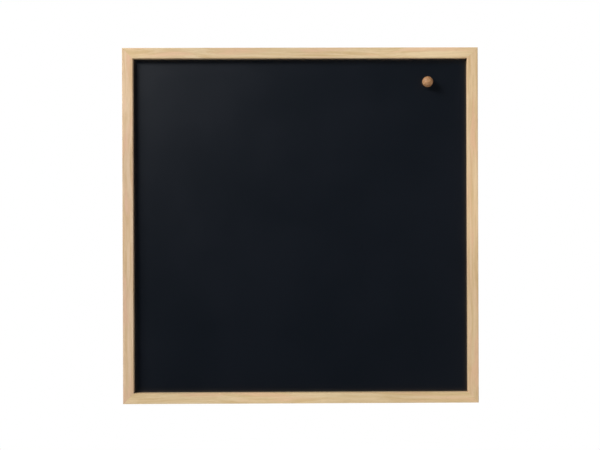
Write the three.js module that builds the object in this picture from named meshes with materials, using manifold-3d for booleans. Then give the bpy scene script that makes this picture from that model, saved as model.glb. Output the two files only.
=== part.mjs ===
// A square magnetic chalkboard in a mitred oak frame, with one wooden knob magnet on it.
// Millimetres. The origin is the middle of the writing surface, +X is right as a writer sees it,
// +Y runs into the board towards the wall and +Z is up.
import * as THREE from "three";
import { mergeVertices } from "three/addons/utils/BufferGeometryUtils.js";
import Module from "manifold-3d";

const wasm = await Module();
wasm.setup();

// Frame
const boardWidth = 500;
const boardHeight = 500;
const railWall = 9; // solid wood outside the panel's bed
const railLip = 6; // how far the front of a rail stands in over the panel's bed
const railDepth = 22; // front face to back face of a rail
const recessDepth = 8; // front face of the frame to the writing surface
const frontEdgeRadius = 1.1;
const sightEdgeRadius = 0.7;
const backEdgeRadius = 0.5;

// Panel
const panelEdgeGap = 1; // between the panel's edge and the wood all round
const sheetThickness = 0.5;
const coreThickness = 6;
const backingThickness = 0.5;
const faceFields = 4; // fields across the writing face, so that the middle ones lie clear of the rails

// Steel points that keep the panel in the frame
const pointsPerRail = 3;
const pointWidth = 6;
const pointThickness = 0.5;
const pointShowing = 9;
const pointTip = 2.5; // length of its tapered end
const pointCover = 2.5; // wood left between its tip and the frame's outside

// V-shaped nails across the mitres
const vNailLeg = 5;
const vNailThickness = 0.8;
const vNailHeight = 10;
const vNailSunk = 0.5;

// Corner plates that tie the mitres and carry the hanging keyholes
const plateThickness = 1.6;
const plateInset = 0.8;
const plateArmWidth = 7.8;
const plateWeb = 4.5; // steel left between the keyhole and the slanting edge
const plateCornerRadius = 2;
const wallScrewHead = 9; // widest screw head that the keyhole takes
const wallScrewShank = 4;
const wallScrewClearance = 0.5; // all round the head and the shank
const keyholeTravel = 9; // from the entry's centre to a slot's end

// Countersunk screws in the corner plates
const screwHead = 5.8;
const screwHeadRim = 0.25;
const screwShank = 2.9;
const screwLength = 13;
const screwTip = 3;
const screwFromArmEnd = 10;
const screwBelowPlate = 0.05;
const driveWall = 0.25; // metal left round the cross recess
const driveWidth = 0.7;
const driveDepth = 1.1;

// Wall bumpers
const bumperDiameter = 8;
const bumperThickness = 3;
const bumperEdgeRadius = 0.6;
const bumperPlateGap = 11; // from a plate's end to the bumper's edge

// Knob magnet
const knobDiameter = 15;
const knobFromRight = 70.5; // from the frame's outside to the knob's middle
const knobFromTop = 48.1;
const magnetDiameter = 8;
const magnetThickness = 3;
const magnetProud = 0.3; // the magnet stands this far out of the wood
const magnetGlueGap = 0.1;
const knobSeatRim = 1.1; // width of the flat ring round the magnet's hole

// Gap left round metal driven into wood
const driveGap = 0.05;

// How far a cutter passes the face that it opens
const cutPast = 1;

// Facets
const edgeSteps = 4;
const roundSteps = 32;
const smallRoundSteps = 20;

// Levels through the board, along Y
const surfaceY = 0;
const frontY = surfaceY - recessDepth;
const backY = frontY + railDepth;
const coreY = surfaceY + sheetThickness;
const backingY = coreY + coreThickness;
const panelBackY = backingY + backingThickness;
const plateBackY = backY + plateThickness;

const railFace = railWall + railLip;
const panelInset = railWall + panelEdgeGap;

const quarterTurn = Math.PI / 2;

// Colours and surfaces
function surface(color, roughness, metalness = 0) {
  return new THREE.MeshStandardMaterial({ color, roughness, metalness });
}

const oak = surface(0xd6b993, 0.55);
const beech = surface(0xb98a5c, 0.45);
const chalkboardEnamel = surface(0x171a20, 0.6);
const fibreboard = surface(0x9c7b55, 0.85);
const galvanised = surface(0xa3a7a9, 0.45, 0.8);
const zincPlate = surface(0xc2c5c7, 0.3, 0.9);
const springSteel = surface(0x8e9194, 0.35, 0.9);
const nickel = surface(0xc9c6bf, 0.2, 1);
const rubber = surface(0x2b2c2e, 0.8);

// Solids: a closed geometry as a manifold, and back again
function solidOf(geometry) {
  const bare = geometry.clone();
  bare.deleteAttribute("normal");
  bare.deleteAttribute("uv");
  const merged = mergeVertices(bare, 1e-4);
  return new wasm.Manifold(
    new wasm.Mesh({
      numProp: 3,
      vertProperties: merged.attributes.position.array,
      triVerts: new Uint32Array(merged.index.array),
    }),
  );
}

function geometryOf(solid) {
  const mesh = solid.getMesh();
  const geometry = new THREE.BufferGeometry();
  geometry.setAttribute("position", new THREE.BufferAttribute(mesh.vertProperties, 3));
  geometry.setIndex(new THREE.BufferAttribute(mesh.triVerts, 1));
  geometry.computeVertexNormals();
  return geometry;
}

function cut(geometry, cutters) {
  let solid = solidOf(geometry);
  for (const cutter of cutters) solid = solid.subtract(solidOf(cutter));
  return geometryOf(solid);
}

function pieceOf(name, geometry, material, place = [0, 0, 0]) {
  const mesh = new THREE.Mesh(geometry, material);
  mesh.name = name;
  mesh.position.set(...place);
  return mesh;
}

// Moves the two flat sides of a geometry to exact levels, so that stacked pieces meet face to face.
function between(from, to, geometry) {
  geometry.computeBoundingBox();
  const { min, max } = geometry.boundingBox;
  const middle = (min.y + max.y) / 2;
  const position = geometry.getAttribute("position");
  for (let i = 0; i < position.count; i++) position.setY(i, position.getY(i) < middle ? from : to);
  return geometry;
}

// A plan outline drawn in X and Z, thick along Y.
function slab(outline, from, to) {
  const geometry = new THREE.ExtrudeGeometry(outline, {
    depth: to - from,
    bevelEnabled: false,
    curveSegments: edgeSteps,
  });
  return between(from, to, geometry.rotateX(quarterTurn));
}

function block(x, y, z, middle) {
  return new THREE.BoxGeometry(x, y, z).translate(...middle);
}

function disc(diameter, y, steps) {
  return new THREE.CylinderGeometry(diameter / 2, diameter / 2, y, steps);
}

// A polygon with its corners rounded, as an outline.
function roundedOutline(points, radius) {
  const outline = new THREE.Shape();
  const count = points.length;
  points.forEach(([x, y], i) => {
    const [px, py] = points[(i + count - 1) % count];
    const [nx, ny] = points[(i + 1) % count];
    const before = radius / Math.hypot(px - x, py - y);
    const after = radius / Math.hypot(nx - x, ny - y);
    const start = [x + (px - x) * before, y + (py - y) * before];
    if (i === 0) outline.moveTo(...start);
    else outline.lineTo(...start);
    outline.quadraticCurveTo(x, y, x + (nx - x) * after, y + (ny - y) * after);
  });
  outline.closePath();
  return outline;
}

function turned(profile, steps) {
  return new THREE.LatheGeometry(
    profile.map(([r, y]) => new THREE.Vector2(r, y)),
    steps,
  );
}

// Rails. A rail lies along X with its outer edge at z = 0 and its middle at x = 0.
function railSection() {
  const section = new THREE.Shape();
  section.moveTo(frontY + frontEdgeRadius, 0);
  section.absarc(
    frontY + frontEdgeRadius,
    -frontEdgeRadius,
    frontEdgeRadius,
    quarterTurn,
    2 * quarterTurn,
    false,
  );
  section.lineTo(frontY, -railFace + sightEdgeRadius);
  section.absarc(
    frontY + sightEdgeRadius,
    -railFace + sightEdgeRadius,
    sightEdgeRadius,
    2 * quarterTurn,
    3 * quarterTurn,
    false,
  );
  section.lineTo(surfaceY, -railFace);
  section.lineTo(surfaceY, -railWall);
  section.lineTo(backY, -railWall);
  section.lineTo(backY, -backEdgeRadius);
  section.absarc(backY - backEdgeRadius, -backEdgeRadius, backEdgeRadius, 0, quarterTurn, false);
  section.closePath();
  return section;
}

function mitredRail(length) {
  const geometry = new THREE.ExtrudeGeometry(railSection(), {
    depth: length,
    bevelEnabled: false,
    curveSegments: edgeSteps,
  });
  const position = geometry.getAttribute("position");
  for (let i = 0; i < position.count; i++) {
    const fromOuterEdge = -position.getY(i);
    const end = length / 2 - fromOuterEdge;
    const along = position.getZ(i) === 0 ? -end : end;
    position.setXYZ(i, along, position.getX(i), position.getY(i));
  }
  return geometry;
}

function pointPlaces(length) {
  return Array.from(
    { length: pointsPerRail },
    (_, i) => ((i + 1) / (pointsPerRail + 1) - 0.5) * length,
  );
}

function rail(length) {
  const cutters = [];
  for (const x of pointPlaces(length)) {
    const slot = slab(pointOutline(driveGap), panelBackY - driveGap, pointTopY + driveGap);
    cutters.push(slot.translate(x, 0, 0));
  }
  for (const end of [-1, 1]) {
    const nail = slab(
      vNailOutline(driveGap, end),
      vNailTopY - vNailHeight - driveGap,
      backY + cutPast,
    );
    cutters.push(nail.translate((end * length) / 2, 0, 0));
    const pilot = turned(screwProfile(driveGap), smallRoundSteps);
    cutters.push(pilot.translate(end * (length / 2 - screwAlong), screwHeadY, -screwIn));
  }
  return cut(mitredRail(length), cutters);
}

// Retaining points: flat strips driven outwards into the rails, lying on the panel's back.
const pointTopY = panelBackY + pointThickness;

function pointOutline(grow) {
  const half = pointWidth / 2 + grow;
  const tip = -pointCover + grow;
  const shoulder = tip - pointTip;
  const inner = -railWall - pointShowing - grow;
  const outline = new THREE.Shape();
  outline.moveTo(-half, inner + half);
  outline.absarc(0, inner + half, half, 2 * quarterTurn, 4 * quarterTurn, false);
  outline.lineTo(half, shoulder);
  outline.lineTo(0, tip);
  outline.lineTo(-half, shoulder);
  outline.closePath();
  return outline;
}

// V-nails: the bend points at the inside of the frame and each leg lies in one rail.
const vNailTopY = backY - vNailSunk;

// The outline stands in the corner at x = 0, z = 0; `side` is 1 at a rail's right end, -1 at its left.
function vNailOutline(grow, side) {
  const bend = -(railWall + vNailLeg) / 2 - grow;
  const tip = bend + vNailLeg + 2 * grow;
  const inside = bend + vNailThickness + 2 * grow;
  const corners = [
    [bend, bend],
    [tip, bend],
    [tip, inside],
    [inside, inside],
    [inside, tip],
    [bend, tip],
  ];
  return new THREE.Shape(corners.map(([x, z]) => new THREE.Vector2(side * x, z)));
}

// Screws: the head's face is at y = 0 and the point at y = -screwLength.
const screwHeadY = plateBackY - screwBelowPlate;

function screwProfile(grow) {
  const head = screwHead / 2 + grow;
  const shank = screwShank / 2 + grow;
  const underRim = -screwHeadRim - grow;
  return [
    [0, -screwLength - grow],
    [shank, -screwLength + screwTip],
    [shank, underRim - (head - shank)],
    [head, underRim],
    [head, grow],
    [0, grow],
  ];
}

function screw() {
  const body = turned(screwProfile(0), smallRoundSteps);
  const driveLength = screwShank - 2 * driveWall;
  return cut(body, [
    block(driveLength, 2 * driveDepth, driveWidth, [0, 0, 0]),
    block(driveWidth, 2 * driveDepth, driveLength, [0, 0, 0]),
  ]);
}

// Corner plate: the frame's outer corner is at x = 0, z = 0 and the rails run along -X and -Z.
// The keyhole is an L, so the board can hang either way up on the same plate.
const keyholeEntry = wallScrewHead + 2 * wallScrewClearance;
const keyholeSlot = wallScrewShank + 2 * wallScrewClearance;
const slotEnd = railWall + keyholeEntry / 2; // inwards from the frame's outside
const entryMiddle = slotEnd + keyholeTravel;
const plateNear = plateInset;
const plateArm = plateInset + plateArmWidth;
const plateFar = 2 * entryMiddle + (keyholeEntry / 2 + plateWeb) * Math.SQRT2 - plateArm;

const screwAlong = plateFar - screwFromArmEnd;
const screwIn = plateInset + plateArmWidth / 2;
const screwPlaces = [
  [-screwAlong, -screwIn],
  [-screwIn, -screwAlong],
];

function plateOutline() {
  const corners = [
    [-plateNear, -plateNear],
    [-plateFar, -plateNear],
    [-plateFar, -plateArm],
    [-plateArm, -plateFar],
    [-plateNear, -plateFar],
  ];
  return roundedOutline(corners, plateCornerRadius);
}

function cornerPlate() {
  const through = plateThickness + 2 * cutPast;
  const middleY = backY + plateThickness / 2;
  const slotMiddle = (slotEnd + entryMiddle) / 2;
  const hole = (diameter, x, z) => disc(diameter, through, roundSteps).translate(x, middleY, z);
  const cutters = [
    hole(keyholeEntry, -entryMiddle, -entryMiddle),
    hole(keyholeSlot, -slotEnd, -entryMiddle),
    hole(keyholeSlot, -entryMiddle, -slotEnd),
    block(keyholeTravel, through, keyholeSlot, [-slotMiddle, middleY, -entryMiddle]),
    block(keyholeSlot, through, keyholeTravel, [-entryMiddle, middleY, -slotMiddle]),
  ];
  for (const [x, z] of screwPlaces) {
    const above = disc(screwHead + 2 * driveGap, plateThickness, smallRoundSteps);
    cutters.push(above.translate(x, screwHeadY + plateThickness / 2, z));
    cutters.push(turned(screwProfile(driveGap), smallRoundSteps).translate(x, screwHeadY, z));
  }
  return cut(slab(plateOutline(), backY, plateBackY), cutters);
}

// Bumper: a disc with an eased outer edge, its face towards the wall.
function bumper() {
  const radius = bumperDiameter / 2;
  return turned(
    [
      [0, 0],
      [radius, 0],
      [radius, bumperThickness - bumperEdgeRadius],
      [radius - bumperEdgeRadius, bumperThickness],
      [0, bumperThickness],
    ],
    roundSteps,
  );
}

// Knob: a ball with a flat seat and a blind hole for the magnet, its seat towards +Y.
function knobBall() {
  const radius = knobDiameter / 2;
  const hole = magnetDiameter / 2 + magnetGlueGap;
  const holeY = -magnetThickness - magnetGlueGap;
  const seat = hole + knobSeatRim;
  const seatY = -magnetProud;
  const centreY = seatY - Math.sqrt(radius ** 2 - seat ** 2);
  const seatAngle = Math.asin(seat / radius);
  const profile = [];
  const rings = roundSteps / 2;
  for (let i = 0; i <= rings; i++) {
    const angle = Math.PI - ((Math.PI - seatAngle) * i) / rings;
    profile.push([i === 0 ? 0 : radius * Math.sin(angle), centreY + radius * Math.cos(angle)]);
  }
  profile.push([hole, seatY], [hole, holeY], [0, holeY]);
  return turned(profile, roundSteps);
}

function panelLayer(name, from, to, material, fields = 1) {
  const width = boardWidth - 2 * panelInset;
  const height = boardHeight - 2 * panelInset;
  const geometry = new THREE.BoxGeometry(width, to - from, height, fields, 1, fields);
  return pieceOf(name, between(from, to, geometry), material);
}

// Assembly
const sides = [
  { name: "top", turns: 0, length: boardWidth, reach: boardHeight / 2 },
  { name: "right", turns: 1, length: boardHeight, reach: boardWidth / 2 },
  { name: "bottom", turns: 2, length: boardWidth, reach: boardHeight / 2 },
  { name: "left", turns: -1, length: boardHeight, reach: boardWidth / 2 },
];

const corners = [
  { name: "top_right", turns: 0, x: 1, z: 1 },
  { name: "bottom_right", turns: 1, x: 1, z: -1 },
  { name: "bottom_left", turns: 2, x: -1, z: -1 },
  { name: "top_left", turns: -1, x: -1, z: 1 },
];

function side({ name, turns, length, reach }) {
  const group = new THREE.Group();
  group.rotation.y = turns * quarterTurn;
  group.add(pieceOf(`rail_${name}`, rail(length), oak, [0, 0, reach]));
  pointPlaces(length).forEach((x, i) => {
    const point = slab(pointOutline(0), panelBackY, pointTopY);
    group.add(pieceOf(`retaining_point_${name}_${i + 1}`, point, springSteel, [x, 0, reach]));
  });
  return group;
}

function corner({ name, turns, x, z }) {
  const group = new THREE.Group();
  group.position.set((x * boardWidth) / 2, 0, (z * boardHeight) / 2);
  group.rotation.y = turns * quarterTurn;
  const nail = slab(vNailOutline(0, 1), vNailTopY - vNailHeight, vNailTopY);
  group.add(pieceOf(`v_nail_${name}`, nail, springSteel));
  group.add(pieceOf(`corner_plate_${name}`, cornerPlate(), zincPlate));
  screwPlaces.forEach(([sx, sz], i) => {
    const place = [sx, screwHeadY, sz];
    group.add(pieceOf(`plate_screw_${name}_${i + 1}`, screw(), zincPlate, place));
  });
  return group;
}

function bumperAt({ name, x, z }) {
  const along = boardWidth / 2 - plateFar - bumperPlateGap - bumperDiameter / 2;
  const up = boardHeight / 2 - railWall / 2;
  return pieceOf(`wall_bumper_${name}`, bumper(), rubber, [x * along, backY, z * up]);
}

function knobMagnet() {
  const group = new THREE.Group();
  const magnet = disc(magnetDiameter, magnetThickness, roundSteps);
  group.position.set(boardWidth / 2 - knobFromRight, surfaceY, boardHeight / 2 - knobFromTop);
  group.add(pieceOf("knob_ball", knobBall(), beech));
  group.add(pieceOf("knob_magnet_disc", magnet, nickel, [0, -magnetThickness / 2, 0]));
  return group;
}

const chalkboard = new THREE.Group();
chalkboard.add(...sides.map(side));
chalkboard.add(panelLayer("writing_sheet", surfaceY, coreY, chalkboardEnamel, faceFields));
chalkboard.add(panelLayer("core_board", coreY, backingY, fibreboard));
chalkboard.add(panelLayer("backing_sheet", backingY, panelBackY, galvanised));
chalkboard.add(...corners.map(corner));
chalkboard.add(...corners.map(bumperAt));
chalkboard.add(knobMagnet());

export default chalkboard;
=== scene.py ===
"""Looks of a square magnetic chalkboard in a mitred oak frame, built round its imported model.

Metres. The origin is the middle of the writing surface, -Y is out towards the reader and +Z is up.
"""
from math import pi, radians, sqrt

import bmesh
import bpy
from mathutils import Matrix, Vector


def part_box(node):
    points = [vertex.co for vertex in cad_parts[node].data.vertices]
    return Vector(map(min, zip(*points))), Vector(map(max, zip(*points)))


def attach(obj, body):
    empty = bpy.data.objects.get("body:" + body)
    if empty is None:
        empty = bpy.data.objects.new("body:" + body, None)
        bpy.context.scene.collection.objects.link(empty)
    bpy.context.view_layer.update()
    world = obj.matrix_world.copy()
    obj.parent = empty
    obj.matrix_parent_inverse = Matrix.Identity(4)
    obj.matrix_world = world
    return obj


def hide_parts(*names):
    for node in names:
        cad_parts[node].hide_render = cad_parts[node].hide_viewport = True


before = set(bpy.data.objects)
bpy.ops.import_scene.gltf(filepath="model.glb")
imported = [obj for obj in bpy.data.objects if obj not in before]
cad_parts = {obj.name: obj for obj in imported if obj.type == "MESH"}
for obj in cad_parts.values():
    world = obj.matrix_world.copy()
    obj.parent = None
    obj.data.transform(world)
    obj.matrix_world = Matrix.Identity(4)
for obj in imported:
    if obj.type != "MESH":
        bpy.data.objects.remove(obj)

bl_info = {
    "name": "Oak-framed magnetic chalkboard",
    "version": (1, 0, 0),
    "blender": (4, 5, 0),
    "location": "3D View > Sidebar > Chalkboard",
    "description": "Models and finishes the pieces of a framed magnetic chalkboard",
    "category": "Object",
}

MM = 0.001
QUARTER = pi / 2

# Quarter turns that carry the top rail to each side, and the top right corner to each corner
SIDES = {"top": 0, "right": 1, "bottom": 2, "left": 3}
CORNERS = {"top_right": 0, "bottom_right": 1, "bottom_left": 2, "top_left": 3}

# Coordinates, or vertices, that are nearer than this are taken as the same
SAME_PLACE = 0.01 * MM
SAME_VERTEX = 0.001 * MM

# How far a face's unit normal reaches along an axis when the face looks that way, or slants that way
FACING = 0.9
SLANTING = 0.5

# Edges that turn by more than these angles are eased, or stay sharp in the shading
EASED_ANGLE = radians(40)
SHARP_ANGLE = radians(32)

# Measures of the fittings that a user has no need to change
OVERCUT = MM            # how far a cutting tool stands out of what it cuts
POINT_ROUNDING = 0.98   # rounding of a retaining point's end, against half its width
POINT_EDGE = 0.08 * MM  # easing of a retaining point's edges
SCREW_END = 0.2 * MM    # radius of a screw's sharp end
SCREW_EDGE = 0.07 * MM  # easing of a screw's edges
SCREW_TURN = 0.23       # quarter turns by which each screw is turned against the one before
DRIVE_NARROWING = 0.45  # width of a cross recess at its bottom, against its mouth
BUMPER_RING = 0.45      # width of the ring round a bumper's dish, against the bumper's radius
BUMPER_EDGE = 0.1 * MM  # easing of a bumper's edges
DISH_NARROWING = 0.75   # width of a bumper's dish at its bottom, against its mouth

# Which stretch of the wood's figure each rail is cut from, and its tint against the oak's colours. The
# tints are partly each board's own tone and partly painted shade: the bottom and left rails are darkened
# and the top lightened, standing in for how the lamps and the floor's bounce light each rail.
FIRST_STRETCH = Vector((0.3, 0.1, 0.2))
NEXT_STRETCH = Vector((0.37, 0.231, 0.413))
OAK_BOARDS_AND_SHADE_TINTS = {
    "top": (13, (1.01, 1.04, 1.04)),
    "right": (7, (1.02, 1.01, 1.0)),
    "bottom": (4, (0.88, 0.905, 0.875)),
    "left": (27, (0.9, 0.89, 0.955)),
}

# The wood's figure. Scales are against the growth lines', and squeezes are along the grain.
WANDERS_PER_METRE = 7.0
WANDER_WIDTH = 20 * MM
TONES_PER_METRE = 3.5
LINE_SQUEEZE = 0.035
FIBRE_SCALE = 9.0
FIBRE_SQUEEZE = 0.012
FIBRE_RELIEF = 0.5
PORE_SCALE = 12.0
PORE_SQUEEZE = 0.09
PORE_SHADE = 0.22
PORE_ROUGHNESS = 0.15
STREAK_SCALE = 0.45
STREAK_SQUEEZE = 0.12

# The floor's two greys, and where it begins to fade and where it is white, as shares of its radius
FLOOR_DARK = (0.86, 0.86, 0.86, 1)
FLOOR_PALE = (0.9, 0.9, 0.9, 1)
FADE_START = 0.45
FADE_END = 0.97

# Width of the camera's sensor in millimetres, and the distance between nodes in the shader editor
SENSOR_WIDTH = 36
NODE_SPACING = 180

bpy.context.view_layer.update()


def node_box(node):
    """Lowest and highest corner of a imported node."""
    low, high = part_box(node)
    return Vector(low), Vector(high)


def shift_to(node, start):
    """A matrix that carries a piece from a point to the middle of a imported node."""
    low, high = node_box(node)
    return Matrix.Translation((low + high) / 2 - start)


# Settings that a user would change

def size_setting(name, description, millimetres):
    return bpy.props.FloatProperty(
        name=name, description=description, default=millimetres * MM, unit="LENGTH", precision=5
    )


def colour_setting(name, description, red, green, blue):
    """A colour written as sRGB display values from 0 to 255."""
    display = [value / 255 for value in (red, green, blue)]
    linear = [v / 12.92 if v <= 0.04045 else ((v + 0.055) / 1.055) ** 2.4 for v in display]
    return bpy.props.FloatVectorProperty(
        name=name, description=description, default=linear, subtype="COLOR", size=3, min=0, max=1
    )


def number_setting(name, description, value):
    return bpy.props.FloatProperty(name=name, description=description, default=value)


class ChalkboardFrameSettings(bpy.types.PropertyGroup):
    panel_gap: size_setting("Panel gap", "Gap between the panel's edge and the wood", 1)
    front_edge: size_setting("Front edge", "Rounding of the outer front edge", 1.1)
    sight_edge: size_setting("Sight edge", "Rounding of the inner front edge", 0.7)
    back_edge: size_setting("Back edge", "Rounding of the outer back edge", 0.5)
    inner_edge: size_setting("Inner edges", "Rounding of the edges that the panel lies against", 0.25)
    mitre_ease: size_setting("Mitre ease", "Easing of the wood along each mitre", 0.12)


class ChalkboardFittingSettings(bpy.types.PropertyGroup):
    arm_width: size_setting("Plate arm", "Width of a corner plate's arms", 7.8)
    plate_corner: size_setting("Plate corner", "Rounding of a corner plate's outline", 2)
    plate_edge: size_setting("Plate edge", "Rounding of a corner plate's stamped edges", 0.18)
    keyhole_entry: size_setting("Keyhole entry", "Diameter of the hole for a wall screw's head", 10)
    keyhole_slot: size_setting("Keyhole slot", "Width of the slots for a wall screw's shank", 5)
    keyhole_travel: size_setting("Keyhole travel", "From the entry's middle to a slot's end", 9)
    keyhole_inset: size_setting("Keyhole inset", "From the frame's outside to the entry's middle", 23)
    screw_shank: size_setting("Screw shank", "Diameter of a plate screw's shank", 2.9)
    screw_rim: size_setting("Screw rim", "Height of a screw head's straight rim", 0.25)
    screw_tip: size_setting("Screw tip", "Length of a screw's point", 3)
    screw_gap: size_setting("Screw gap", "Gap round a screw in its plate", 0.05)
    drive_size: size_setting("Drive size", "Length of a screw's cross recess", 3.2)
    drive_width: size_setting("Drive width", "Width of a cross recess's arms", 0.7)
    drive_depth: size_setting("Drive depth", "Depth of a cross recess", 1.2)
    point_tip: size_setting("Point tip", "Length of a retaining point's tapered end", 2.5)
    bumper_edge: size_setting("Bumper edge", "Rounding of a bumper's outer edge", 0.9)
    bumper_dish: size_setting("Bumper dish", "Depth of the shallow dish in a bumper's face", 0.25)


class ChalkboardKnobSettings(bpy.types.PropertyGroup):
    hole_radius: size_setting("Hole radius", "Radius of the blind hole for the magnet", 4.1)
    hole_depth: size_setting("Hole depth", "Depth of the blind hole below the seat", 2.8)
    seat_edge: size_setting("Seat edge", "Rounding of the seat's rim", 0.3)
    magnet_edge: size_setting("Magnet edge", "Rounding of the magnet disc's edges", 0.3)


class ChalkboardFinishSettings(bpy.types.PropertyGroup):
    oak_light: colour_setting("Oak, early wood", "Pale wood between the growth lines", 221, 194, 156)
    oak_dark: colour_setting("Oak, late wood", "Darker wood of the growth lines", 206, 175, 131)
    oak_warm: colour_setting("Oak, warm streaks", "Pinkish streaks in the oak", 221, 182, 148)
    beech_light: colour_setting("Knob, early wood", "Pale wood of the turned ball", 188, 145, 104)
    beech_dark: colour_setting("Knob, late wood", "Darker wood of the turned ball", 158, 112, 73)
    beech_warm: colour_setting("Knob, warm streaks", "Reddish streaks in the turned ball", 175, 124, 86)
    enamel: colour_setting("Writing enamel", "Base colour of the writing surface", 2, 10, 21)
    enamel_worn: colour_setting("Wiped enamel", "Where the writing surface has been wiped", 3, 11, 23)
    board: colour_setting("Fibreboard", "Raw fibreboard", 158, 122, 84)
    galvanised: colour_setting("Galvanised steel", "Sheet on the panel's back", 176, 180, 183)
    zinc: colour_setting("Zinc plating", "Corner plates and screws", 203, 206, 208)
    spring_steel: colour_setting("Spring steel", "Retaining points and V-nails", 140, 140, 143)
    nickel: colour_setting("Nickel plating", "Magnet disc", 205, 200, 192)
    rubber: colour_setting("Rubber", "Wall bumpers", 38, 38, 40)


class ChalkboardStageSettings(bpy.types.PropertyGroup):
    camera_distance: size_setting("Camera distance", "From the writing surface to the camera", 1300)
    camera_right: size_setting("Camera right", "Camera's place to the right of the middle", -9.5)
    camera_up: size_setting("Camera up", "Camera's place above the middle", 1.3)
    camera_pan: number_setting("Camera pan", "Degrees that the camera looks to the right", 0.384)
    camera_tilt: number_setting("Camera tilt", "Degrees that the camera looks up", -0.027)
    camera_roll: number_setting("Camera roll", "Degrees that the camera is rolled", 0.184)
    lens: number_setting("Lens", "Focal length in millimetres on a sensor 36 mm wide", 55.2)
    room_front: number_setting("Room in front", "Even light that reaches the board from the front", 0.118)
    room_back: number_setting("Room behind", "Even light that reaches the board from behind", 0.6)
    key_power: number_setting("Key power", "Softbox at the upper left, in watts", 205)
    sheen_power: number_setting("Sheen power", "Small softbox for the haze at the upper left, in watts", 7)
    fill_power: number_setting("Fill power", "Softbox at the right, in watts", 17)
    back_power: number_setting("Back power", "Softbox behind the board, in watts", 36)
    floor_drop: size_setting("Floor drop", "From the board's middle down to the floor", 520)
    floor_radius: size_setting("Floor radius", "Radius of the floor", 950)


# Modelling by hand, in code

def deselect():
    bpy.ops.object.select_all(action="DESELECT")


def activate(piece):
    deselect()
    piece.select_set(True)
    bpy.context.view_layer.objects.active = piece


def named(name):
    """Names the primitive that was just added and moves its place into its mesh."""
    piece = bpy.context.object
    piece.name = name
    piece.data.name = name
    bpy.ops.object.transform_apply(location=True, rotation=True, scale=True)
    return piece


def add_block(name, low, high):
    """A block between two corners."""
    deselect()
    bpy.ops.mesh.primitive_cube_add(size=1, location=(low + high) / 2, scale=high - low)
    return named(name)


def add_disc(name, radius, near, far, centre, sides):
    """A cylinder along Y between two levels. `centre` gives its X and Z."""
    deselect()
    bpy.ops.mesh.primitive_cylinder_add(
        vertices=sides,
        radius=radius,
        depth=far - near,
        location=(centre[0], (near + far) / 2, centre[1]),
        rotation=(QUARTER, 0, 0),
    )
    return named(name)


def select_parts(piece, kind, test):
    """Goes into edit mode and selects the faces or edges that pass a test."""
    activate(piece)
    bpy.ops.object.mode_set(mode="EDIT")
    bpy.ops.mesh.select_mode(type=kind)
    bpy.ops.mesh.select_all(action="DESELECT")
    mesh = bmesh.from_edit_mesh(piece.data)
    found = [part for part in (mesh.faces if kind == "FACE" else mesh.edges) if test(part)]
    if not found:
        raise RuntimeError(f"{piece.name}: nothing to select")
    for part in found:
        part.select_set(True)
    bmesh.update_edit_mesh(piece.data)


def to_object_mode():
    bpy.ops.object.mode_set(mode="OBJECT")


def slice_off(piece, point, normal):
    """Cuts away what lies beyond a plane and closes the cut."""
    select_parts(piece, "FACE", lambda face: True)
    bpy.ops.mesh.bisect(plane_co=point, plane_no=normal, use_fill=True, clear_outer=True)
    to_object_mode()


def score(piece, point, normal):
    """Adds edges where a plane passes through a piece."""
    select_parts(piece, "FACE", lambda face: True)
    bpy.ops.mesh.bisect(plane_co=point, plane_no=normal)
    to_object_mode()


def at(value, target):
    """True if two coordinates are the same."""
    return abs(value - target) < SAME_PLACE


def lies_on(edge, **places):
    """True if an edge lies wholly at the given coordinates, such as y=0, z=0.25."""
    return all(
        at(getattr(vertex.co, axis), place) for vertex in edge.verts for axis, place in places.items()
    )


def ends_agree(edge, *axes):
    """True if both ends of an edge have the same coordinates on the given axes."""
    first, second = (vertex.co for vertex in edge.verts)
    return all(at(getattr(first, axis), getattr(second, axis)) for axis in axes)


def round_edges(piece, radius, steps, test):
    """Rounds the edges that pass a test."""
    select_parts(piece, "EDGE", test)
    bpy.ops.mesh.bevel(offset=radius, segments=steps, profile=0.5, affect="EDGES")
    to_object_mode()


def modify(piece, kind, **settings):
    """Adds a modifier and applies it."""
    activate(piece)
    modifier = piece.modifiers.new(kind.lower(), kind)
    for key, value in settings.items():
        setattr(modifier, key, value)
    bpy.ops.object.modifier_apply(modifier=modifier.name)


def ease_edges(piece, radius, steps=2):
    """Rounds every sharp edge of a piece."""
    modify(piece, "BEVEL", width=radius, segments=steps, limit_method="ANGLE", angle_limit=EASED_ANGLE)


def carve(piece, *tools):
    """Takes the tools' shapes out of a piece and removes the tools."""
    for tool in tools:
        modify(piece, "BOOLEAN", operation="DIFFERENCE", solver="EXACT", object=tool)
        bpy.data.objects.remove(tool, do_unlink=True)


def smooth(piece):
    """Smooth shading that keeps flat faces flat."""
    activate(piece)
    bpy.ops.object.shade_smooth_by_angle(angle=SHARP_ANGLE)
    modify(piece, "WEIGHTED_NORMAL", keep_sharp=True, weight=80)


def close_shell(piece):
    """Merges doubles and points every face outwards."""
    select_parts(piece, "FACE", lambda face: True)
    bpy.ops.mesh.remove_doubles(threshold=SAME_VERTEX)
    bpy.ops.mesh.normals_make_consistent(inside=False)
    to_object_mode()


def copy_of(piece, name, matrix):
    """A copy with its own mesh, moved by a matrix in its mesh."""
    activate(piece)
    bpy.ops.object.duplicate(linked=False)
    twin = bpy.context.object
    twin.name = name
    twin.data.name = name
    twin.data.transform(matrix)
    twin.data.update()
    return twin


def turned_about_y(quarters, centre=Vector((0, 0, 0))):
    """A matrix that turns by a number of quarter turns about a line along Y through a point."""
    turn = Matrix.Rotation(quarters * QUARTER, 4, "Y")
    return Matrix.Translation(centre) @ turn @ Matrix.Translation(-centre)


def dress(piece, material, slot, body, *nodes):
    """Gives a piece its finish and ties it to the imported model."""
    piece.data.materials.clear()
    piece.data.materials.append(material)
    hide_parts(*nodes)
    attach(piece, body)


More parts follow.
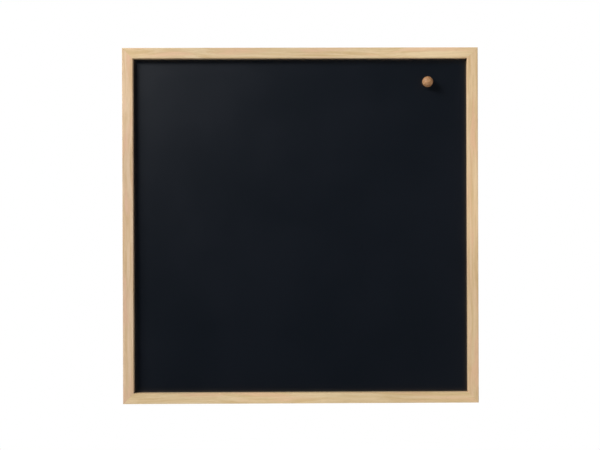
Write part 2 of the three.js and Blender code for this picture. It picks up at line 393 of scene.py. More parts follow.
def repaint(node, material):
    """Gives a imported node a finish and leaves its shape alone."""
    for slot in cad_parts[node].material_slots:
        slot.material = material


# Wiring shader nodes

class Wiring:
    """Adds nodes to a tree, each fed by values or by the outputs of earlier nodes."""

    def __init__(self, tree):
        self.tree = tree

    def add(self, kind, inputs=None, **settings):
        node = self.tree.nodes.new(kind)
        node.location = (NODE_SPACING * len(self.tree.nodes), 0)
        for key, value in settings.items():
            setattr(node, key, value)
        for key, value in (inputs or {}).items():
            self.feed(node.inputs[key], value)
        return node

    def feed(self, socket, value):
        if isinstance(value, bpy.types.NodeSocket):
            self.tree.links.new(value, socket)
        else:
            socket.default_value = value

    def math(self, operation, first, second=0.0, clamp=False):
        inputs = {0: first, 1: second}
        return self.add("ShaderNodeMath", inputs, operation=operation, use_clamp=clamp).outputs[0]

    def vector(self, operation, first, second):
        return self.add("ShaderNodeVectorMath", {0: first, 1: second}, operation=operation).outputs[0]

    def ramp(self, value, low, high, start=0.0, end=1.0):
        """Maps low..high smoothly to start..end."""
        inputs = {"Value": value, "From Min": low, "From Max": high, "To Min": start, "To Max": end}
        return self.add("ShaderNodeMapRange", inputs, interpolation_type="SMOOTHSTEP").outputs[0]

    def between(self, value, start, end):
        """Maps 0..1 smoothly to start..end."""
        return self.ramp(value, 0.0, 1.0, start, end)

    def mix(self, factor, first, second, blend="MIX"):
        node = self.add("ShaderNodeMix", {0: factor}, data_type="RGBA", blend_type=blend)
        self.feed(node.inputs[6], first)
        self.feed(node.inputs[7], second)
        return node.outputs[2]

    def darken(self, colour, shade):
        """A colour times a number."""
        grey = self.add("ShaderNodeCombineXYZ", {0: shade, 1: shade, 2: shade}).outputs[0]
        return self.mix(1.0, colour, grey, "MULTIPLY")

    def noise(self, vector, scale, detail=2.0, roughness=0.5):
        inputs = {"Vector": vector, "Scale": scale, "Detail": detail, "Roughness": roughness}
        return self.add("ShaderNodeTexNoise", inputs).outputs["Fac"]

    def group(self, tree, **inputs):
        """Places a node group. Spaces in its socket names are written as underscores."""
        node = self.add("ShaderNodeGroup", node_tree=tree)
        for key, value in inputs.items():
            self.feed(node.inputs[key.replace("_", " ")], value)
        return node


def new_group(name, inputs, outputs):
    """A node group with its sockets, as (wiring, its inputs, a function that sets its outputs)."""
    tree = bpy.data.node_groups.new(name, "ShaderNodeTree")
    for socket, kind, value in inputs:
        item = tree.interface.new_socket(socket, in_out="INPUT", socket_type=f"NodeSocket{kind}")
        if value is not None:
            item.default_value = value
    for socket, kind in outputs:
        tree.interface.new_socket(socket, in_out="OUTPUT", socket_type=f"NodeSocket{kind}")
    wiring = Wiring(tree)
    entry = wiring.add("NodeGroupInput")
    leave = wiring.add("NodeGroupOutput")

    def finish(**results):
        for key, value in results.items():
            wiring.feed(leave.inputs[key], value)
        return tree

    return wiring, entry.outputs, finish


def wood_figure_group():
    """Growth lines, fibres and pores of wood whose grain runs along X."""
    wiring, entry, finish = new_group(
        "Wood figure",
        [
            ("Vector", "Vector", None),
            ("Early wood", "Color", (0.8, 0.6, 0.4, 1)),
            ("Late wood", "Color", (0.6, 0.4, 0.25, 1)),
            ("Warm streaks", "Color", (0.75, 0.5, 0.35, 1)),
            ("Lines per metre", "Float", 260.0),
            ("Pores", "Float", 1.0),
        ],
        [("Color", "Color"), ("Roughness", "Float"), ("Height", "Float")],
    )
    lines = entry["Lines per metre"]
    wander = wiring.math("SUBTRACT", wiring.noise(entry["Vector"], WANDERS_PER_METRE), 0.5)
    wander = wiring.math("MULTIPLY", wander, WANDER_WIDTH)
    sideways = wiring.add("ShaderNodeCombineXYZ", {1: wander, 2: wander}).outputs[0]
    bent = wiring.vector("ADD", entry["Vector"], sideways)

    def layer(scale, squeeze, detail, roughness=0.5):
        """Noise that is drawn out along the grain."""
        space = wiring.vector("MULTIPLY", bent, (squeeze, 1.0, 1.0))
        return wiring.noise(space, scale, detail, roughness)

    growth = layer(lines, LINE_SQUEEZE, detail=3.0, roughness=0.6)
    fibres = layer(wiring.math("MULTIPLY", lines, FIBRE_SCALE), FIBRE_SQUEEZE, detail=2.0)
    pores = layer(wiring.math("MULTIPLY", lines, PORE_SCALE), PORE_SQUEEZE, detail=1.0)
    pores = wiring.math("MULTIPLY", wiring.ramp(pores, 0.66, 0.76), entry["Pores"])
    streaks = layer(wiring.math("MULTIPLY", lines, STREAK_SCALE), STREAK_SQUEEZE, detail=2.0)
    figure = wiring.mix(wiring.ramp(growth, 0.36, 0.68), entry["Early wood"], entry["Late wood"])
    figure = wiring.mix(wiring.ramp(streaks, 0.45, 0.7, 0.0, 0.75), figure, entry["Warm streaks"])
    shade = wiring.ramp(fibres, 0.2, 0.8, 0.93, 1.05)
    shade = wiring.math("SUBTRACT", shade, wiring.math("MULTIPLY", pores, PORE_SHADE))
    tones = wiring.noise(entry["Vector"], TONES_PER_METRE, detail=1.0)
    shade = wiring.math("MULTIPLY", shade, wiring.ramp(tones, 0.3, 0.7, 0.88, 1.09))
    figure = wiring.darken(figure, shade)
    height = wiring.math("SUBTRACT", wiring.math("MULTIPLY", fibres, FIBRE_RELIEF), pores)
    rough = wiring.ramp(fibres, 0.2, 0.8, 0.5, 0.62)
    rough = wiring.math("ADD", rough, wiring.math("MULTIPLY", pores, PORE_ROUGHNESS))
    return finish(Color=figure, Roughness=rough, Height=height)


def fine_grain_group():
    """A fine sprayed or moulded grain with faint clouds over it."""
    wiring, entry, finish = new_group(
        "Fine grain",
        [
            ("Vector", "Vector", None),
            ("Grain per metre", "Float", 2500.0),
            ("Clouds per metre", "Float", 9.0),
        ],
        [("Clouds", "Float"), ("Height", "Float")],
    )
    grain = wiring.noise(entry["Vector"], entry["Grain per metre"], detail=2.0, roughness=0.6)
    clouds = wiring.noise(entry["Vector"], entry["Clouds per metre"], detail=4.0, roughness=0.6)
    return finish(Clouds=wiring.ramp(clouds, 0.3, 0.7), Height=grain)


def plated_metal_group():
    """Soft blotches and fine drawn lines of plated sheet metal."""
    wiring, entry, finish = new_group(
        "Plated metal",
        [
            ("Vector", "Vector", None),
            ("Colour", "Color", (0.6, 0.6, 0.6, 1)),
            ("Blotches per metre", "Float", 220.0),
            ("Roughness", "Float", 0.35),
        ],
        [("Color", "Color"), ("Roughness", "Float"), ("Height", "Float")],
    )
    blotches = wiring.noise(entry["Vector"], entry["Blotches per metre"], detail=3.0, roughness=0.6)
    lengthwise = wiring.vector("MULTIPLY", entry["Vector"], (0.03, 1.0, 1.0))
    drawn = wiring.noise(lengthwise, scale=5200.0, detail=2.0)
    shade = wiring.ramp(blotches, 0.25, 0.75, 0.86, 1.04)
    rough = wiring.ramp(blotches, 0.25, 0.75, 0.08, -0.06)
    rough = wiring.math("ADD", entry["Roughness"], rough, clamp=True)
    rough = wiring.math("ADD", rough, wiring.ramp(drawn, 0.3, 0.7, -0.03, 0.05), clamp=True)
    return finish(Color=wiring.darken(entry["Colour"], shade), Roughness=rough, Height=drawn)


def rgba(colour):
    return (*colour, 1.0)


def new_material(name, specular=0.5, metallic=0.0):
    """A material with a principled shader, as (material, its wiring, shader, object coordinates)."""
    material = bpy.data.materials.new(name)
    material.use_nodes = True
    wiring = Wiring(material.node_tree)
    shader = material.node_tree.nodes["Principled BSDF"]
    shader.inputs["Specular IOR Level"].default_value = specular
    shader.inputs["Metallic"].default_value = metallic
    place = wiring.add("ShaderNodeTexCoord").outputs["Object"]
    return material, wiring, shader, place


def emboss(wiring, shader, height, depth, strength=1.0):
    """Feeds a height into a shader's normal, with its depth in metres."""
    inputs = {"Strength": strength, "Distance": depth, "Height": height}
    wiring.feed(shader.inputs["Normal"], wiring.add("ShaderNodeBump", inputs).outputs[0])


def wood_material(name, colours, turn, offset, lines, pores, specular):
    """Wood whose grain runs along X once the coordinates are turned."""
    material, wiring, shader, place = new_material(name, specular=specular)
    inputs = {"Vector": place, "Rotation": turn, "Location": offset}
    space = wiring.add("ShaderNodeMapping", inputs).outputs[0]
    early, late, warm = (rgba(colour) for colour in colours)
    figure = wiring.group(
        bpy.data.node_groups["Wood figure"],
        Vector=space,
        Early_wood=early,
        Late_wood=late,
        Warm_streaks=warm,
        Lines_per_metre=lines,
        Pores=pores,
    )
    wiring.feed(shader.inputs["Base Color"], figure.outputs["Color"])
    wiring.feed(shader.inputs["Roughness"], figure.outputs["Roughness"])
    emboss(wiring, shader, figure.outputs["Height"], depth=0.06 * MM)
    return material


def oak_material(side, colours):
    """The oak of one rail: its grain's way, its own stretch of the figure, and its tint, which is partly
    the board's own tone and partly painted shade for how the light falls on that rail.
    """
    stretch, tint_and_shade = OAK_BOARDS_AND_SHADE_TINTS[side]
    place = FIRST_STRETCH + stretch * NEXT_STRETCH
    turn = (0, QUARTER if side in ("left", "right") else 0, 0)
    # Painted shade in part: the tint lightens or darkens this rail's colours for the light that falls on
    # it
    tinted_and_shaded = [tuple(value * share for value, share in zip(colour, tint_and_shade)) for colour in colours]
    return wood_material(f"Oak, {side} rail", tinted_and_shaded, turn, place, lines=260.0, pores=1.0, specular=0.3)


def metal_material(name, colour, roughness, blotches, depth):
    material, wiring, shader, place = new_material(name, metallic=1.0)
    metal = wiring.group(
        bpy.data.node_groups["Plated metal"],
        Vector=place,
        Colour=rgba(colour),
        Roughness=roughness,
        Blotches_per_metre=blotches,
    )
    wiring.feed(shader.inputs["Base Color"], metal.outputs["Color"])
    wiring.feed(shader.inputs["Roughness"], metal.outputs["Roughness"])
    emboss(wiring, shader, metal.outputs["Height"], depth=depth)
    return material


def enamel_material(finishes):
    """Matt writing enamel: nearly black, fine-grained, with the faint clouds that wiping leaves."""
    material, wiring, shader, place = new_material("Writing enamel", specular=0.95)
    shader.inputs["IOR"].default_value = 1.52
    grain = wiring.group(
        bpy.data.node_groups["Fine grain"], Vector=place, Grain_per_metre=2600.0, Clouds_per_metre=8.0
    )
    clouds = grain.outputs["Clouds"]
    colour = wiring.mix(clouds, rgba(finishes.enamel), rgba(finishes.enamel_worn))
    wiring.feed(shader.inputs["Base Color"], colour)
    wiring.feed(shader.inputs["Roughness"], wiring.between(clouds, 0.34, 0.36))
    emboss(wiring, shader, grain.outputs["Height"], depth=0.03 * MM)
    return material


def rubber_material(finishes):
    material, wiring, shader, place = new_material("Bumper rubber", specular=0.3)
    grain = wiring.group(
        bpy.data.node_groups["Fine grain"], Vector=place, Grain_per_metre=4000.0, Clouds_per_metre=160.0
    )
    gain, lift = 1.6, 0.01
    dusty = tuple(min(1.0, gain * value + lift) for value in finishes.rubber)
    colour = wiring.mix(grain.outputs["Clouds"], rgba(finishes.rubber), rgba(dusty))
    wiring.feed(shader.inputs["Base Color"], colour)
    wiring.feed(shader.inputs["Roughness"], wiring.between(grain.outputs["Clouds"], 0.62, 0.8))
    emboss(wiring, shader, grain.outputs["Height"], depth=0.05 * MM)
    return material


def fibreboard_material(finishes):
    """Pressed wood fibre: a speckle of pale and dark fibres."""
    material, wiring, shader, place = new_material("Raw fibreboard", specular=0.2)
    grain = wiring.group(
        bpy.data.node_groups["Fine grain"], Vector=place, Grain_per_metre=1400.0, Clouds_per_metre=60.0
    )
    speckle = wiring.ramp(grain.outputs["Height"], 0.3, 0.7, 0.72, 1.12)
    wiring.feed(shader.inputs["Base Color"], wiring.darken(rgba(finishes.board), speckle))
    wiring.feed(shader.inputs["Roughness"], wiring.between(grain.outputs["Clouds"], 0.8, 0.92))
    emboss(wiring, shader, grain.outputs["Height"], depth=0.1 * MM)
    return material


def galvanised_material(finishes):
    """Zinc spangle: large crystals, each with its own tone and its own gloss."""
    material, wiring, shader, place = new_material("Galvanised sheet", metallic=0.9)
    flat = wiring.vector("MULTIPLY", place, (1.0, 0.0, 1.0))
    wobble = wiring.noise(place, scale=260.0, detail=2.0)
    shift = wiring.math("MULTIPLY", wobble, 4 * MM)
    space = wiring.vector("ADD", flat, wiring.add("ShaderNodeCombineXYZ", {0: shift, 2: shift}).outputs[0])
    crystals = wiring.add("ShaderNodeTexVoronoi", {"Vector": space, "Scale": 150.0})
    tone = wiring.add("ShaderNodeSeparateColor", {0: crystals.outputs["Color"]}).outputs[0]
    shade = wiring.between(tone, 0.93, 1.03)
    wiring.feed(shader.inputs["Base Color"], wiring.darken(rgba(finishes.galvanised), shade))
    wiring.feed(shader.inputs["Roughness"], wiring.between(tone, 0.5, 0.42))
    emboss(wiring, shader, crystals.outputs["Distance"], depth=0.02 * MM, strength=0.4)
    return material


def make_materials(finishes):
    """Every finish of the board, by name."""
    wood_figure_group()
    fine_grain_group()
    plated_metal_group()
    oak = (finishes.oak_light, finishes.oak_dark, finishes.oak_warm)
    beech = (finishes.beech_light, finishes.beech_dark, finishes.beech_warm)
    turn, offset = (0, 0.5, 0.4), (0, 0, 0)
    return {
        **{f"oak_{side}": oak_material(side, oak) for side in SIDES},
        "beech": wood_material(
            "Turned beech", beech, turn, offset, lines=420.0, pores=0.6, specular=0.4
        ),
        "enamel": enamel_material(finishes),
        "rubber": rubber_material(finishes),
        "fibreboard": fibreboard_material(finishes),
        "galvanised": galvanised_material(finishes),
        "zinc": metal_material(
            "Zinc plating", finishes.zinc, roughness=0.34, blotches=240.0, depth=0.006 * MM
        ),
        "spring_steel": metal_material(
            "Spring steel", finishes.spring_steel, roughness=0.4, blotches=500.0, depth=0.01 * MM
        ),
        "nickel": metal_material(
            "Nickel plating", finishes.nickel, roughness=0.22, blotches=300.0, depth=0.003 * MM
        ),
    }


# Filled by the Finishes step, for the steps after it
materials = {}


# Pieces

class CHALKBOARD_OT_finishes(bpy.types.Operator):
    """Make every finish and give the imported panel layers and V-nails theirs"""

    bl_idname = "chalkboard.finishes"
    bl_label = "Finishes"

    def execute(self, context):
        materials.update(make_materials(context.scene.chalkboard_finishes))
        repaint("writing_sheet", materials["enamel"])
        repaint("core_board", materials["fibreboard"])
        repaint("backing_sheet", materials["galvanised"])
        for corner in CORNERS:
            repaint(f"v_nail_{corner}", materials["spring_steel"])
        return {"FINISHED"}


def model_rail(settings):
    """The top rail: a wall with a lip in front, mitred at both ends, its edges rounded."""
    low, high = node_box("rail_top")
    panel_top = node_box("writing_sheet")[1].z
    surface = node_box("writing_sheet")[0].y
    wall = panel_top + settings.panel_gap
    rail = add_block("oak_rail_top", Vector((low.x, low.y, wall)), high)
    score(rail, (0, surface, 0), (0, 1, 0))
    select_parts(
        rail,
        "FACE",
        lambda face: face.normal.z < -FACING and face.calc_center_median().y < surface,
    )
    bpy.ops.mesh.extrude_region_move(TRANSFORM_OT_translate={"value": (0, 0, low.z - wall)})
    to_object_mode()
    slice_off(rail, (high.x, 0, high.z), (1, 0, -1))
    slice_off(rail, (low.x, 0, high.z), (-1, 0, -1))
    round_edges(rail, settings.front_edge, 8, lambda edge: lies_on(edge, y=low.y, z=high.z))
    round_edges(rail, settings.sight_edge, 6, lambda edge: lies_on(edge, y=low.y, z=low.z))
    round_edges(rail, settings.back_edge, 4, lambda edge: lies_on(edge, y=high.y, z=high.z))
    round_edges(rail, settings.inner_edge, 3, lambda edge: lies_on(edge, y=high.y, z=wall))
    round_edges(rail, settings.inner_edge, 3, lambda edge: lies_on(edge, y=surface, z=low.z))
    mitre_gap = high.x - high.z

    def bounds_mitre(edge):
        """True if an edge lies in a mitre's plane, between its cut face and another face."""
        in_plane = all(at(abs(vertex.co.x) - vertex.co.z, mitre_gap) for vertex in edge.verts)
        return in_plane and len({abs(face.normal.x) > SLANTING for face in edge.link_faces}) == 2

    round_edges(rail, settings.mitre_ease, 2, bounds_mitre)
    smooth(rail)
    return rail


class CHALKBOARD_OT_rails(bpy.types.Operator):
    """Model the four mitred oak rails"""

    bl_idname = "chalkboard.rails"
    bl_label = "Frame rails"

    def execute(self, context):
        first = model_rail(context.scene.chalkboard_frame)
        for side, quarters in SIDES.items():
            rail = copy_of(first, f"oak_rail_{side}", turned_about_y(quarters)) if quarters else first
            dress(rail, materials[f"oak_{side}"], "oak", "board", f"rail_{side}")
        return {"FINISHED"}


class CHALKBOARD_OT_points(bpy.types.Operator):
    """Model the steel points that keep the panel in the frame"""

    bl_idname = "chalkboard.points"
    bl_label = "Retaining points"

    def execute(self, context):
        settings = context.scene.chalkboard_fittings
        low, high = node_box("retaining_point_top_1")
        middle = (low + high) / 2
        half = (high.x - low.x) / 2
        first = add_block("steel_point_top_1", low, high)
        for side in (-1, 1):
            slope = Vector((side * settings.point_tip, 0, half)).normalized()
            slice_off(first, (middle.x, 0, high.z), slope)
        round_edges(
            first,
            half * POINT_ROUNDING,
            10,
            lambda edge: lies_on(edge, z=low.z) and not ends_agree(edge, "y"),
        )
        ease_edges(first, POINT_EDGE)
        smooth(first)
        for side, quarters in SIDES.items():
            for count in (1, 2, 3):
                name = f"{side}_{count}"
                if name == "top_1":
                    piece = first
                else:
                    shift = shift_to(f"retaining_point_{name}", middle)
                    turn = turned_about_y(quarters, middle)
                    piece = copy_of(first, f"steel_point_{name}", shift @ turn)
                dress(piece, materials["spring_steel"], "spring_steel", "board", f"retaining_point_{name}")
        return {"FINISHED"}


def model_plate(settings):
    """The top right corner plate: stamped steel with an L-shaped keyhole and two countersinks."""
    low, high = node_box("corner_plate_top_right")
    frame_corner = node_box("rail_top")[1]
    plate = add_block("keyhole_plate_top_right", low, high)
    slant = (low.x, 0, high.z - settings.arm_width)
    slice_off(plate, slant, (-1, 0, -1))
    round_edges(plate, settings.plate_corner, 8, lambda edge: ends_agree(edge, "x", "z"))
    near, far = low.y - OVERCUT, high.y + OVERCUT
    entry = (frame_corner.x - settings.keyhole_inset, frame_corner.z - settings.keyhole_inset)
    half_slot = settings.keyhole_slot / 2
    travel = settings.keyhole_travel
    tools = [add_disc("cut", settings.keyhole_entry / 2, near, far, entry, sides=64)]
    for right, up in ((1, 0), (0, 1)):
        end = (entry[0] + right * travel, entry[1] + up * travel)
        tools.append(add_disc("cut", half_slot, near, far, end, sides=48))
        corner = Vector((entry[0] - up * half_slot, near, entry[1] - right * half_slot))
        opposite = Vector((end[0] + up * half_slot, far, end[1] + right * half_slot))
        tools.append(add_block("cut", corner, opposite))
    for count in (1, 2):
        tools.append(screw_shape("cut", settings, f"plate_screw_top_right_{count}", settings.screw_gap))
    carve(plate, *tools)
    ease_edges(plate, settings.plate_edge)
    smooth(plate)
    return plate


def screw_shape(name, settings, node, grow):
    """A countersunk screw along Y, its head towards +Y, drawn out from its point ring by ring.

    `grow` widens it, for a tool that cuts the hole for it.
    """
    low, high = node_box(node)
    centre = (low + high) / 2
    head = (high.x - low.x) / 2 + grow
    shank = settings.screw_shank / 2 + grow
    neck = high.y - settings.screw_rim - (head - shank)
    rings = [
        (SCREW_END, low.y),
        (shank, low.y + settings.screw_tip),
        (shank, neck),
        (head, high.y - settings.screw_rim),
        (head, high.y + (OVERCUT if grow else 0)),
    ]
    radius, level = rings[0]
    deselect()
    bpy.ops.mesh.primitive_circle_add(
        vertices=40,
        radius=radius,
        fill_type="NGON",
        location=(centre.x, level, centre.z),
        rotation=(QUARTER, 0, 0),
    )
    screw = named(name)
    select_parts(screw, "FACE", lambda face: True)
    for wider, further in rings[1:]:
        bpy.ops.mesh.extrude_region_move(TRANSFORM_OT_translate={"value": (0, further - level, 0)})
        scale = wider / radius
        bpy.ops.transform.resize(
            value=(scale, 1, scale), center_override=(centre.x, further, centre.z)
        )
        radius, level = wider, further
    to_object_mode()
    close_shell(screw)
    return screw


def model_screw(settings):
    """A plate screw with a cross recess that narrows as it goes down."""
    node = "plate_screw_top_right_1"
    screw = screw_shape("zinc_screw_top_right_1", settings, node, 0)
    low, high = node_box(node)
    centre = (low + high) / 2
    arms = []
    for long_x, long_z in ((1, 0), (0, 1)):
        half_x = (settings.drive_size if long_x else settings.drive_width) / 2
        half_z = (settings.drive_size if long_z else settings.drive_width) / 2
        bottom = high.y - settings.drive_depth
        top = high.y + settings.drive_depth
        arm = add_block(
            "cut",
            Vector((centre.x - half_x, bottom, centre.z - half_z)),
            Vector((centre.x + half_x, top, centre.z + half_z)),
        )
        select_parts(arm, "FACE", lambda face: face.normal.y < -FACING)
        bpy.ops.transform.resize(
            value=(DRIVE_NARROWING, 1, DRIVE_NARROWING), center_override=(centre.x, bottom, centre.z)
        )
        to_object_mode()
        arms.append(arm)
    carve(screw, *arms)
    ease_edges(screw, SCREW_EDGE)
    smooth(screw)
    return screw


class CHALKBOARD_OT_plates(bpy.types.Operator):
    """Model the corner plates with their keyholes"""

    bl_idname = "chalkboard.plates"
    bl_label = "Corner plates"

    def execute(self, context):
        first = model_plate(context.scene.chalkboard_fittings)
        for corner, quarters in CORNERS.items():
            name = f"keyhole_plate_{corner}"
            plate = copy_of(first, name, turned_about_y(quarters)) if quarters else first
            dress(plate, materials["zinc"], "zinc_plate", "board", f"corner_plate_{corner}")
        return {"FINISHED"}


class CHALKBOARD_OT_screws(bpy.types.Operator):
    """Model the countersunk screws of the corner plates"""

    bl_idname = "chalkboard.screws"
    bl_label = "Plate screws"

    def execute(self, context):
        first = model_screw(context.scene.chalkboard_fittings)
        low, high = node_box("plate_screw_top_right_1")
        middle = (low + high) / 2
        placed = 0
        for corner in CORNERS:
            for count in (1, 2):
                name = f"{corner}_{count}"
                if placed:
                    shift = shift_to(f"plate_screw_{name}", middle)
                    turn = turned_about_y(SCREW_TURN * placed, middle)
                    screw = copy_of(first, f"zinc_screw_{name}", shift @ turn)
                else:
                    screw = first
                placed += 1
                dress(screw, materials["zinc"], "zinc_plate", "board", f"plate_screw_{name}")
        return {"FINISHED"}


class CHALKBOARD_OT_bumpers(bpy.types.Operator):
    """Model the rubber bumpers that keep the frame off the wall"""

    bl_idname = "chalkboard.bumpers"
    bl_label = "Wall bumpers"

    def execute(self, context):
        settings = context.scene.chalkboard_fittings
        low, high = node_box("wall_bumper_top_right")
        middle = (low + high) / 2
        radius = (high.x - low.x) / 2
        first = add_disc("rubber_bumper_top_right", radius, low.y, high.y, (middle.x, middle.z), sides=64)
        top = Vector((middle.x, high.y, middle.z))
        select_parts(first, "FACE", lambda face: face.normal.y > FACING)
        bpy.ops.mesh.inset(thickness=radius * BUMPER_RING)
        bpy.ops.mesh.extrude_region_move(TRANSFORM_OT_translate={"value": (0, -settings.bumper_dish, 0)})
        bpy.ops.transform.resize(value=(DISH_NARROWING, 1, DISH_NARROWING), center_override=top)
        to_object_mode()
        round_edges(
            first,
            settings.bumper_edge,
            6,
            lambda edge: lies_on(edge, y=high.y) and at((edge.verts[0].co - top).length, radius),
        )
        ease_edges(first, BUMPER_EDGE)
        smooth(first)
        for corner, quarters in CORNERS.items():
            shift = shift_to(f"wall_bumper_{corner}", middle)
            bumper = copy_of(first, f"rubber_bumper_{corner}", shift) if quarters else first
            dress(bumper, materials["rubber"], "rubber", "board", f"wall_bumper_{corner}")
        return {"FINISHED"}


class CHALKBOARD_OT_knob(bpy.types.Operator):
    """Model the turned wooden ball and the magnet disc in its seat"""

    bl_idname = "chalkboard.knob"
    bl_label = "Knob magnet"

    def execute(self, context):
        settings = context.scene.chalkboard_knob
        low, high = node_box("knob_ball")
        radius = (high.x - low.x) / 2
        centre = Vector(((low.x + high.x) / 2, low.y + radius, (low.z + high.z) / 2))
        seat = sqrt(radius**2 - (high.y - centre.y) ** 2)
        deselect()
        bpy.ops.mesh.primitive_uv_sphere_add(
            segments=96, ring_count=48, radius=radius, location=centre, rotation=(QUARTER, 0, 0)
        )
        ball = named("turned_knob_ball")
        slice_off(ball, (0, high.y, 0), (0, 1, 0))
        select_parts(
            ball, "FACE", lambda face: face.normal.y > FACING and at(face.calc_center_median().y, high.y)
        )
        bpy.ops.mesh.inset(thickness=seat - settings.hole_radius)
        bpy.ops.mesh.extrude_region_move(TRANSFORM_OT_translate={"value": (0, -settings.hole_depth, 0)})
        to_object_mode()
        ease_edges(ball, settings.seat_edge, steps=3)
        close_shell(ball)
        smooth(ball)
        dress(ball, materials["beech"], "beech", "magnet", "knob_ball")

        low, high = node_box("knob_magnet_disc")
        middle = (low + high) / 2
        radius = (high.x - low.x) / 2
        disc = add_disc("plated_magnet_disc", radius, low.y, high.y, (middle.x, middle.z), sides=64)
        ease_edges(disc, settings.magnet_edge, steps=3)
        smooth(disc)
        dress(disc, materials["nickel"], "nickel", "magnet", "knob_magnet_disc")
        return {"FINISHED"}


# Stage

def light_world(settings):
    """A white room, which is dim in front of the board.

    In reflections it is bright behind the board, less so low down, and dark in front, apart from a
    faint shine on the right.
    """
    world = bpy.data.worlds.new("Studio")
    bpy.context.scene.world = world
    world.use_nodes = True
    wiring = Wiring(world.node_tree)
    path = wiring.add("ShaderNodeLightPath").outputs
    direction = wiring.add("ShaderNodeTexCoord").outputs["Generated"]
    parts = wiring.add("ShaderNodeSeparateXYZ", {0: direction}).outputs
    behind = wiring.ramp(parts["Y"], -0.6, 0.25)
    raised = wiring.ramp(parts["Z"], -0.7, 0.5, 0.6, 1.0)
    right = wiring.ramp(parts["X"], -0.05, 0.35, 0.0, 0.065)
    gloss = wiring.math("MAXIMUM", wiring.math("MULTIPLY", behind, raised), right)
    room = wiring.ramp(parts["Y"], -0.1, 0.4, settings.room_front, settings.room_back)
    seen = wiring.math("ADD", path["Is Camera Ray"], path["Is Transmission Ray"], clamp=True)
    seen = wiring.math("MULTIPLY", seen, wiring.math("SUBTRACT", 1.0, room))
    shine = wiring.math("MULTIPLY", path["Is Glossy Ray"], wiring.math("SUBTRACT", gloss, room))
    strength = wiring.math("ADD", wiring.math("ADD", seen, shine), room)
    backdrop = world.node_tree.nodes["Background"]
    backdrop.inputs["Color"].default_value = (1, 1, 1, 1)
    wiring.feed(backdrop.inputs["Strength"], strength)
    world.cycles.sampling_method = "NONE"


def add_softbox(name, place, width, power, in_reflections=True):
    """A square area light that faces the board and isn't seen by the camera."""
    deselect()
    aim = (-Vector(place)).to_track_quat("-Z", "Y").to_euler()
    bpy.ops.object.light_add(type="AREA", location=place, rotation=aim)
    softbox = bpy.context.object
    softbox.name = name
    softbox.data.shape = "SQUARE"
    softbox.data.size = width
    softbox.data.energy = power
    softbox.visible_camera = False
    softbox.visible_glossy = in_reflections


def floor_material(radius):
    """A pale floor that melts into the white room towards its rim."""
    material, wiring, shader, place = new_material("Pale floor", specular=0.1)
    speckle = wiring.noise(place, scale=180.0, detail=3.0)
    wiring.feed(shader.inputs["Base Color"], wiring.mix(speckle, FLOOR_DARK, FLOOR_PALE))
    shader.inputs["Roughness"].default_value = 0.8
    away = wiring.add("ShaderNodeVectorMath", {0: place}, operation="LENGTH").outputs["Value"]
    fade = wiring.ramp(away, radius * FADE_START, radius * FADE_END)
    is_camera = wiring.add("ShaderNodeLightPath").outputs["Is Camera Ray"]
    white = wiring.add("ShaderNodeEmission").outputs[0]
    blend = wiring.add("ShaderNodeMixShader", {0: wiring.math("MULTIPLY", fade, is_camera)})
    wiring.feed(blend.inputs[1], shader.outputs[0])
    wiring.feed(blend.inputs[2], white)
    surface = material.node_tree.nodes["Material Output"].inputs["Surface"]
    wiring.feed(surface, blend.outputs[0])
    return material


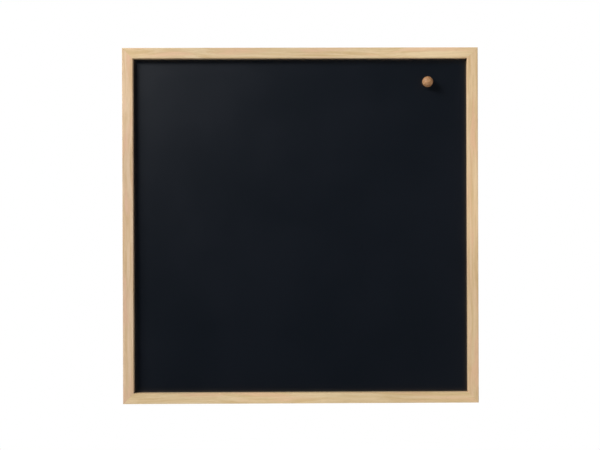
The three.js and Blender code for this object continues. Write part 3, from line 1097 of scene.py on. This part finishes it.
class CHALKBOARD_OT_stage(bpy.types.Operator):
    """Set up the camera, the soft lights, the white room and the pale floor"""

    bl_idname = "chalkboard.stage"
    bl_label = "Stage"

    def execute(self, context):
        settings = context.scene.chalkboard_stage
        deselect()
        bpy.ops.object.camera_add(
            location=(settings.camera_right, -settings.camera_distance, settings.camera_up),
            rotation=(
                QUARTER + radians(settings.camera_tilt),
                radians(settings.camera_roll),
                -radians(settings.camera_pan),
            ),
        )
        camera = bpy.context.object
        camera.name = "Camera"
        camera.data.sensor_width = SENSOR_WIDTH
        camera.data.lens = settings.lens
        context.scene.camera = camera
        context.scene.view_settings.view_transform = "Standard"

        light_world(settings)
        add_softbox("Key softbox", (-4.0, -2.4, 2.6), width=2.0, power=settings.key_power)
        add_softbox("Sheen softbox", (-0.8, -0.7, 0.84), width=0.32, power=settings.sheen_power)
        add_softbox(
            "Fill softbox", (1.3, -1.9, 0.2), width=1.2, power=settings.fill_power, in_reflections=False
        )
        add_softbox(
            "Back softbox", (0.9, 1.7, 1.2), width=1.4, power=settings.back_power, in_reflections=False
        )

        deselect()
        bpy.ops.mesh.primitive_circle_add(vertices=128, radius=settings.floor_radius, fill_type="NGON")
        floor = bpy.context.object
        floor.name = "Floor"
        floor.location.z = -settings.floor_drop
        floor.visible_glossy = False
        floor.data.materials.append(floor_material(settings.floor_radius))
        return {"FINISHED"}


class CHALKBOARD_PT_panel(bpy.types.Panel):
    """Lists the steps that make the chalkboard"""

    bl_idname = "CHALKBOARD_PT_panel"
    bl_label = "Chalkboard"
    bl_space_type = "VIEW_3D"
    bl_region_type = "UI"
    bl_category = "Chalkboard"

    def draw(self, context):
        for operator in OPERATORS:
            self.layout.operator(operator.bl_idname)
        for name in SETTINGS:
            box = self.layout.box()
            for key in getattr(context.scene, name).__annotations__:
                box.prop(getattr(context.scene, name), key)


SETTINGS = {
    "chalkboard_frame": ChalkboardFrameSettings,
    "chalkboard_fittings": ChalkboardFittingSettings,
    "chalkboard_knob": ChalkboardKnobSettings,
    "chalkboard_finishes": ChalkboardFinishSettings,
    "chalkboard_stage": ChalkboardStageSettings,
}
OPERATORS = [
    CHALKBOARD_OT_stage,
    CHALKBOARD_OT_finishes,
    CHALKBOARD_OT_rails,
    CHALKBOARD_OT_points,
    CHALKBOARD_OT_plates,
    CHALKBOARD_OT_screws,
    CHALKBOARD_OT_bumpers,
    CHALKBOARD_OT_knob,
]


def register():
    for name, settings in SETTINGS.items():
        bpy.utils.register_class(settings)
        setattr(bpy.types.Scene, name, bpy.props.PointerProperty(type=settings))
    for operator in OPERATORS:
        bpy.utils.register_class(operator)
    bpy.utils.register_class(CHALKBOARD_PT_panel)


def unregister():
    bpy.utils.unregister_class(CHALKBOARD_PT_panel)
    for operator in reversed(OPERATORS):
        bpy.utils.unregister_class(operator)
    for name, settings in reversed(SETTINGS.items()):
        delattr(bpy.types.Scene, name)
        bpy.utils.unregister_class(settings)


def main():
    register()
    bpy.ops.chalkboard.stage()
    bpy.ops.chalkboard.finishes()
    bpy.ops.chalkboard.rails()
    bpy.ops.chalkboard.points()
    bpy.ops.chalkboard.plates()
    bpy.ops.chalkboard.screws()
    bpy.ops.chalkboard.bumpers()
    bpy.ops.chalkboard.knob()


if __name__ == "__main__":
    main()
